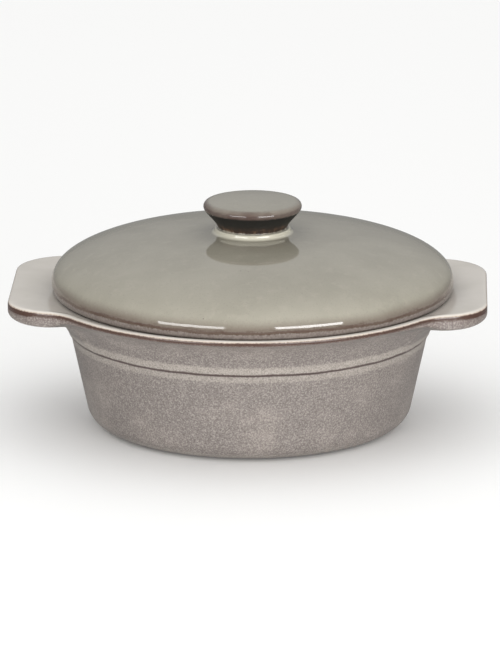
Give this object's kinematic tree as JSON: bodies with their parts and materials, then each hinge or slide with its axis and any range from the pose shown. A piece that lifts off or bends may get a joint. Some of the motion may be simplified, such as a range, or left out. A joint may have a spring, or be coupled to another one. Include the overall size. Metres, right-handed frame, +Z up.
{
  "type": "covered casserole dish",
  "caption": "Round glazed stoneware casserole with a lug handle at each end and a domed, knobbed lid that lifts straight off",
  "frame": {"origin": "the centre of the base, on the surface that the dish stands on", "axes": "+X runs along the length, from lug to lug, -Y is the front, and +Z is up"},
  "size_m": [0.258, 0.2316, 0.1238],
  "materials": {
    "dish_glaze": "speckled taupe satin glaze outside, cream gloss glaze inside and on the lugs, brown where it breaks over an edge",
    "lid_glaze": "sage grey gloss glaze, brown where it breaks over an edge, dark and rusty under the knob"
  },
  "bodies": {
    "dish": {"dish": "dish_glaze"},
    "lid": {"lid": "lid_glaze"}
  },
  "joints": [
    {"name": "lid_lift", "type": "slide", "parent": "dish", "child": "lid", "axis": [0, 0, 1], "range_m": [0, 0.12]}
  ]
}
